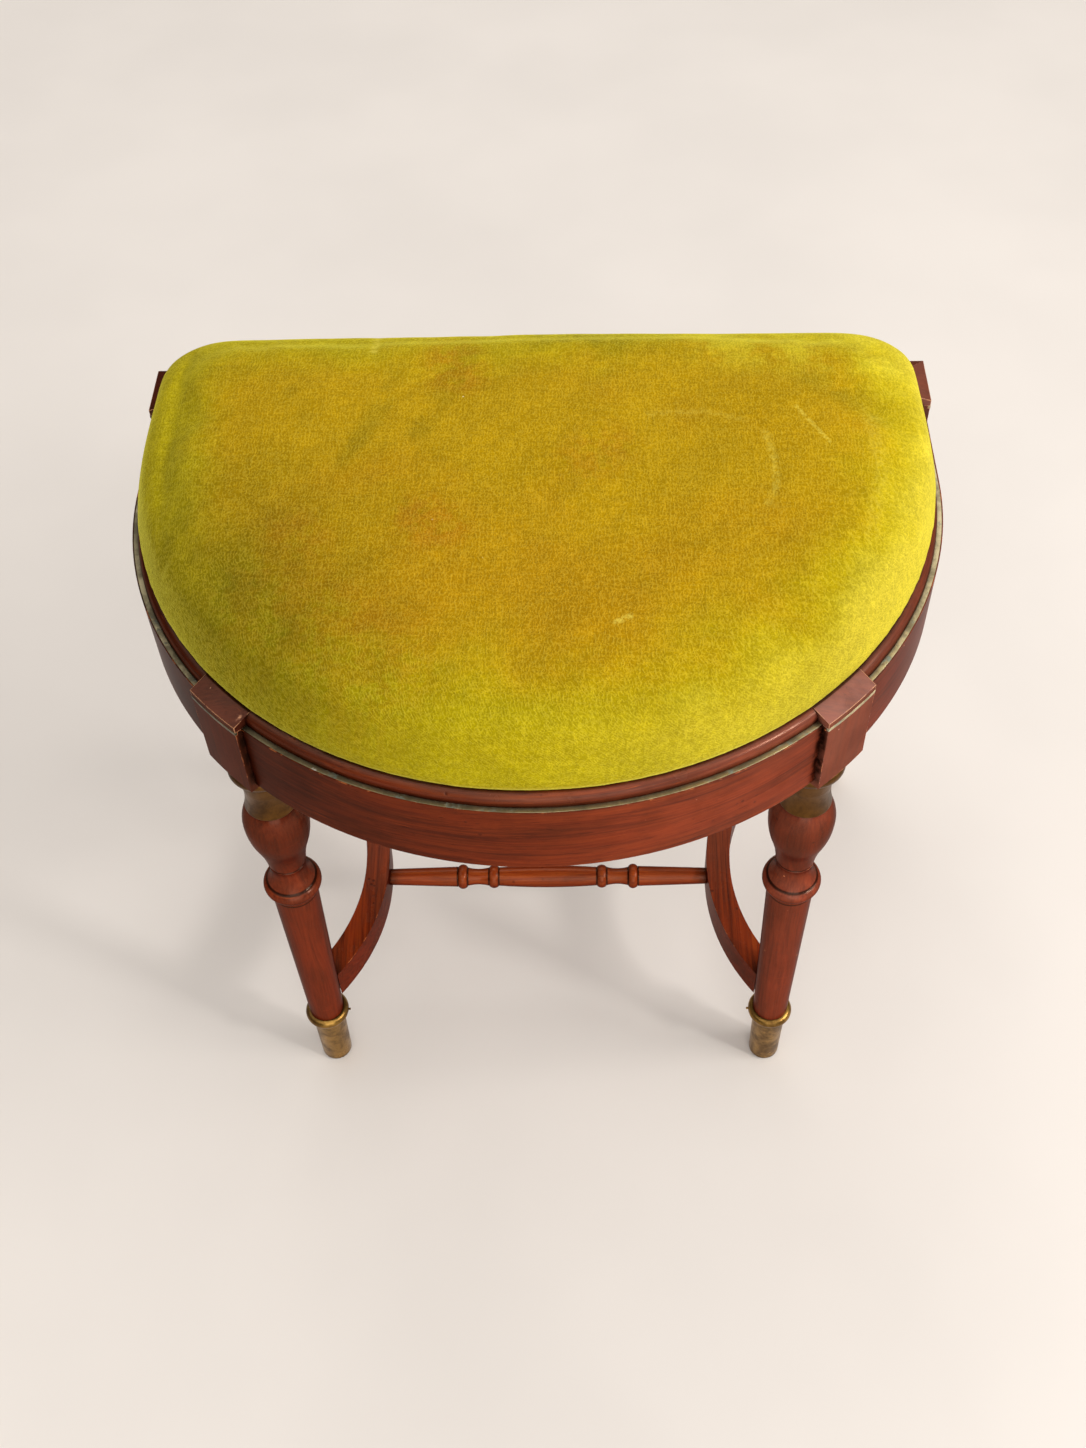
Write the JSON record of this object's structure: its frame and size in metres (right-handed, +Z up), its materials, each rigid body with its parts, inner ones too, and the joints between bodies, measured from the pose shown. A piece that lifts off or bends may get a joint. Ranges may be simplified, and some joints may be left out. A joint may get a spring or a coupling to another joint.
{
  "type": "piano stool",
  "caption": "Half-round wooden piano stool with turned brass-shod legs, curved stretchers and a lift-out velvet drop-in seat.",
  "frame": {"origin": "on the floor, below the middle of the bounding box", "axes": "+X to the right of the sitter's front view, +Y from the curved front to the straight back, +Z up"},
  "size_m": [0.5696, 0.4044, 0.54],
  "materials": {
    "mahogany": "polished, worn edges",
    "turned_mahogany": "polished",
    "pale_wood": "sawn, unfinished",
    "aged_brass": "tarnished",
    "inlay_brass": "dull, greenish",
    "velvet": "worn cotton velvet pile",
    "horsehair": "coarse fibre",
    "hessian": "open plain weave",
    "jute_webbing": "striped herringbone webbing",
    "dust_cloth": "black cotton",
    "tack_steel": "blued"
  },
  "bodies": {
    "frame": {"back_bead": "mahogany", "back_brass_line": "inlay_brass", "back_rail": "mahogany", "collar_front_left": "aged_brass", "collar_front_right": "aged_brass", "collar_rear_left": "aged_brass", "collar_rear_right": "aged_brass", "cross_stretcher": "turned_mahogany", "ferrule_front_left": "aged_brass", "ferrule_front_right": "aged_brass", "ferrule_pins": "aged_brass", "ferrule_rear_left": "aged_brass", "ferrule_rear_right": "aged_brass", "front_bead": "mahogany", "front_block_left": "mahogany", "front_block_right": "mahogany", "front_block_slip_left": "inlay_brass", "front_block_slip_right": "inlay_brass", "front_brass_line": "inlay_brass", "front_cap_left": "mahogany", "front_cap_right": "mahogany", "front_glue_blocks": "pale_wood", "front_rail": "mahogany", "leg_front_left": "turned_mahogany", "leg_front_right": "turned_mahogany", "leg_rear_left": "turned_mahogany", "leg_rear_right": "turned_mahogany", "rear_block_left": "mahogany", "rear_block_right": "mahogany", "rear_block_slip_left": "inlay_brass", "rear_block_slip_right": "inlay_brass", "rear_cap_left": "mahogany", "rear_cap_right": "mahogany", "rear_glue_blocks": "pale_wood", "side_bead_left": "mahogany", "side_bead_right": "mahogany", "side_brass_line_left": "inlay_brass", "side_brass_line_right": "inlay_brass", "side_rail_left": "mahogany", "side_rail_right": "mahogany", "side_stretcher_left": "mahogany", "side_stretcher_right": "mahogany"},
    "seat": {"cover_tacks": "tack_steel", "dust_cover": "dust_cloth", "hessian": "hessian", "seat_frame_back": "pale_wood", "seat_frame_front": "pale_wood", "seat_frame_left": "pale_wood", "seat_frame_right": "pale_wood", "stuffing": "horsehair", "velvet_cover": "velvet", "webbing_front_to_back": "jute_webbing", "webbing_side_to_side": "jute_webbing"}
  },
  "joints": [
    {"name": "seat_lift", "type": "slide", "parent": "frame", "child": "seat", "axis": [0, 0, 1], "range_m": [0, 0.08]}
  ]
}
